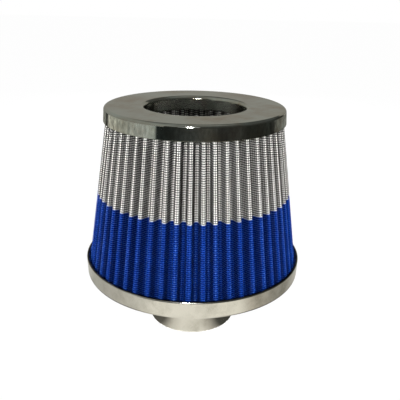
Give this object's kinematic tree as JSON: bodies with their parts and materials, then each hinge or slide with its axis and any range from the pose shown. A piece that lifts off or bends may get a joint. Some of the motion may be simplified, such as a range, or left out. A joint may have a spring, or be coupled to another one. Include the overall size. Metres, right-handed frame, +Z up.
{
  "type": "conical performance air filter",
  "caption": "Open-top conical air filter with a pleated outer cone, an inverted pleated inner cone, pressed end covers and a round inlet neck.",
  "frame": {"origin": "centre of the lower end of the inlet neck", "axes": "+Z up along the filter's axis, from the neck to the open top; -Y is the front in the picture"},
  "size_m": [0.155, 0.155, 0.16],
  "materials": {
    "polished_steel": "mirror polished",
    "satin_steel": "satin",
    "wire_screen": "bright woven wire",
    "white_cotton": "woven cotton gauze",
    "blue_cotton": "woven cotton gauze, dyed",
    "polyurethane": "matte, poured"
  },
  "bodies": {
    "root": {"top_cover": "polished_steel", "top_seal": "polyurethane", "outer_screen": "wire_screen", "white_gauze": "white_cotton", "blue_gauze": "blue_cotton", "backing_screen": "wire_screen", "seam_strip": "wire_screen", "base_cover": "satin_steel", "base_seal": "polyurethane", "neck": "satin_steel", "cone_screen": "wire_screen", "cone_gauze": "white_cotton", "cone_backing_screen": "wire_screen", "cone_seam_strip": "wire_screen", "cone_cup": "polished_steel", "cone_seal": "polyurethane"}
  },
  "joints": []
}
